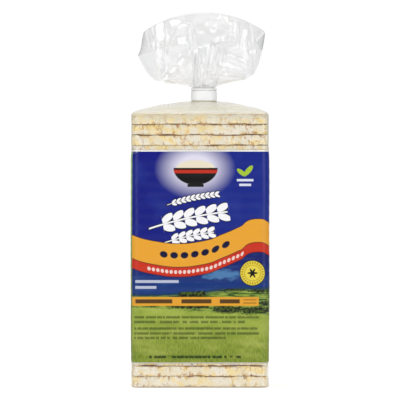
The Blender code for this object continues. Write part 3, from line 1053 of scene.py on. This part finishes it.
def creased(x, z, turned):
    """Flat facets between straight creases: the sum of a few sets of parallel folds, in mm."""
    drift = noise.noise_vector(Vector((x, z, turned)) / 34.0) * 4.0
    height = 0.0
    for angle, spacing, rise, start in CREASES:
        way = math.radians(angle + turned)
        along = (x + drift.x) * math.cos(way) + (z + drift.y) * math.sin(way)
        height += rise * triangle_wave(TAU * along / spacing + start)
    return height


def ellipse_share(x, z, patch):
    """0 in the middle of a calm patch of film, and 1 outside it."""
    middle_x, middle_z, reach_x, reach_z = patch
    away = math.hypot((x - middle_x) / reach_x, (z - middle_z) / reach_z)
    return min(1.0, 0.15 + max(0.0, away - 0.6) * 2.2)


def bunch_point(turn, rise):
    """The bunched film inside the fan: it closes the neck, and its deep flutes rise from there and
    lean to the right."""
    shut = min(1.0, rise / BUNCH_FLOOR)
    rise = max(0.0, (rise - BUNCH_FLOOR) / (1 - BUNCH_FLOOR))
    spread = rise ** 0.8
    centre, half_x, half_y = bunch_size(spread)
    half_x, half_y = half_x * shut, half_y * shut
    point = section_point(turn, centre * MM, half_x * MM, half_y * MM, half_y * MM)
    sideways = (point.x / MM - centre) / max(half_x, 0.1)
    top = 234.5 + 3.0 * sideways - 5.0 * sideways ** 2 + 1.6 * triangle_wave(TAU * 5 * turn)
    height = FAN_BOTTOM / MM + rise * (top - FAN_BOTTOM / MM) + 3.0 * (1 - shut)
    flutes = triangle_wave(TAU * 9 * turn + 1.6 * math.sin(TAU * 3 * turn) - 1.1 * rise)
    flutes += 0.5 * triangle_wave(TAU * 21 * turn + 0.8 * math.sin(TAU * 2 * turn + 4 * rise))
    outward = (point - Vector((centre * MM, 0.0))).normalized()
    point = point + outward * flutes * (0.4 + 0.4 * spread) * shut * MM
    if point.y < 0:
        x, face = point.x / MM, point.y / MM
        out = fold_height(x, height, BUNCH_FOLDS) * min(1.0, rise * 6)
        point.y -= pressed_flat(x, height, face, out, BUNCH_SEATS) * MM if rise > 0 else 0.0
    return Vector((point.x, point.y, height * MM))


def fan_haze(rise, point):
    """How cloudy the fan is: a little at its cut edge and along its pressed-in creases, and more
    where it is folded over double."""
    edge = 0.35 if rise > 0.99 else 0.0
    if point.y > 0:
        return edge
    x, z = point.x / MM, point.z / MM
    double = max(inside(x, z, corners, 0.9) for corners in DOUBLED)
    crease = max(1 - from_fold(x, z, fold) / 0.8 for fold in FRONT_FOLDS if fold[4] < 0)
    return max(edge, 0.5 * double, 0.4 * crease)


def bunch_haze(rise, _):
    return 1.0 if rise < BUNCH_FLOOR else 0.0


def film_piece(name, around, up, place, material, haze_at=None):
    """One sheet of clear film as a finished piece."""
    bm, _ = rolled_sheet(around, up, place, haze_at)
    return finish_mesh(bm, name, material)


def neck_tape():
    """White tape wound once round the neck, with a rolled lip and a lapped end."""
    def place(turn, rise):
        height = BAND_LOW.z + rise * (BAND_HIGH.z - BAND_LOW.z)
        lap = 0.3 * MM * max(0.0, 1 - turn / 0.12)
        lip = 0.36 * MM * math.exp(-((rise - 0.93) / 0.06) ** 2)
        groove = -0.4 * MM * math.exp(-((rise - 0.82) / 0.03) ** 2)
        flare = 0.3 * MM * (1 - rise)
        bulk = -0.45 * MM + flare + lip + groove + lap
        half_x, half_y = BAND_HALF_X + bulk, BAND_HALF_Y + bulk
        point = section_point(turn + 0.3, NECK_X, half_x, half_y, half_y)
        return Vector((point.x, point.y, height))
    bm, _ = rolled_sheet(160, 40, place)
    piece = finish_mesh(bm, "neck_tape", white_tape())
    solid = piece.modifiers.new("wall", "SOLIDIFY")
    solid.thickness = 0.4 * MM
    solid.offset = -1.0
    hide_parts("neck_band")
    return piece


def build_bag():
    grain = puffed_rice()
    cakes = [rice_cake(number, grain) for number in range(1, CAKE_COUNT + 1)]
    wrap = printed_wrap()
    snug = clear_film("clear_film", srgb(240, 238, 226), 0.02, 0.8)
    # The cream in this tint is painted reflection: it stands for the cakes' light caught in the
    # gathered film over them.
    dome = clear_film("gathered_film", srgb(232, 232, 219), 0.03, 1.3)
    fan = clear_film("loose_film", srgb(218, 220, 222), 0.1, 0.3, 0.035, 0.935, 1.3, 0.008)
    folds = clear_film("folded_film", srgb(236, 238, 240), 0.05, 0.14, 0.05, 0.985, 1.8, 0.015)
    sheets = [
        film_piece("film_over_the_stack", 300, 110, clear_top, dome, top_haze),
        film_piece("film_round_the_foot", 240, 60, clear_foot, snug),
    ]
    loose = [
        film_piece("fan_film", 520, 150, fan_point, fan, fan_haze),
        film_piece("bunched_film", 260, 70, bunch_point, folds, bunch_haze),
    ]
    for piece in [wrap] + sheets + cakes + loose:
        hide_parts("bag")
    neck_tape()


# ---------- stage

def build_stage():
    """A pale lit table that sweeps up behind the bag, and is clear when seen from its far side."""
    bm = bmesh.new()
    bmesh.ops.create_grid(bm, x_segments=2, y_segments=60, size=0.5)
    width, depth, front, back_height, bend = 2.0, 9.0, -4.5, 3.0, 1.2
    flat = depth - bend
    for vertex in bm.verts:
        along = (vertex.co.y + 0.5) * (flat + bend * math.pi / 2 + back_height)
        if along <= flat:
            y, z = along, 0.0
        elif along <= flat + bend * math.pi / 2:
            angle = (along - flat) / bend
            y, z = flat + bend * math.sin(angle), bend * (1 - math.cos(angle))
        else:
            y, z = depth, bend + along - flat - bend * math.pi / 2
        vertex.co = (vertex.co.x * width, front + y, z)
    mesh = bpy.data.meshes.new("floor")
    bm.to_mesh(mesh)
    bm.free()
    mesh.shade_smooth()
    paper = Recipe("floor_paper")
    for socket, value in (
        ("Base Color", srgb(235, 235, 235)),
        ("Roughness", 0.8),
        ("Emission Color", (1.0, 1.0, 1.0, 1.0)),
        ("Emission Strength", 0.33),
    ):
        paper.put(paper.shader.inputs[socket], value)
    far_side = paper.add("NewGeometry").outputs["Backfacing"]
    clear = paper.add("BsdfTransparent").outputs[0]
    one_sided = paper.add("MixShader", [(0, far_side), (1, paper.shader.outputs[0]), (2, clear)])
    paper.put(paper.output.inputs["Surface"], one_sided.outputs[0])
    mesh.materials.append(paper.material)
    floor = bpy.data.objects.new("floor", mesh)
    bpy.context.scene.collection.objects.link(floor)


def area_light(name, place, aim, size, power):
    light = bpy.data.lights.new(name, "AREA")
    light.shape = "RECTANGLE"
    light.size, light.size_y = size
    light.energy = power
    lamp = bpy.data.objects.new(name, light)
    lamp.location = place
    lamp.rotation_euler = (Vector(aim) - Vector(place)).to_track_quat("-Z", "Y").to_euler()
    bpy.context.scene.collection.objects.link(lamp)


def build_light():
    scene = bpy.context.scene
    scene.view_settings.view_transform = "Standard"
    world = bpy.data.worlds.new("studio")
    scene.world = world
    world.use_nodes = True
    background = world.node_tree.nodes["Background"]
    background.inputs["Color"].default_value = (1.0, 1.0, 1.0, 1.0)
    background.inputs["Strength"].default_value = 0.35
    middle = (0.0, 0.0, 0.15)
    area_light("soft_left", (-1.1, -1.3, 0.75), middle, (0.9, 1.3), 10.6)
    area_light("soft_right", (1.2, -1.2, 0.6), middle, (0.8, 1.3), 8.6)
    area_light("soft_top", (0.0, -0.3, 1.6), middle, (0.9, 0.6), 6.5)
    area_light("high_front", (0.0, -1.8, 2.1), middle, (1.6, 1.2), 5.0)
    area_light("overhead_wash", (0.0, 1.8, 3.0), (0.0, 1.8, 0.0), (4.0, 5.0), 60)


def build_camera():
    """A long lens straight in front, a degree above level."""
    camera = bpy.data.cameras.new("camera")
    distance = 7.0
    field = 271.6 * MM
    camera.sensor_width = 36.0
    camera.lens = camera.sensor_width * (distance - WRAP_HALF) / field
    camera.clip_end = 50.0
    view = bpy.data.objects.new("camera", camera)
    aim = Vector((0.0, 0.0, RIM_TOP / 2 - 0.5 * MM))
    rise = math.radians(1.0)
    view.location = aim + distance * Vector((0.0, -math.cos(rise), math.sin(rise)))
    view.rotation_euler = (aim - view.location).to_track_quat("-Z", "Y").to_euler()
    bpy.context.scene.collection.objects.link(view)
    bpy.context.scene.camera = view


noise.seed_set(NOISE_SEED)
build_bag()
build_stage()
build_light()
build_camera()
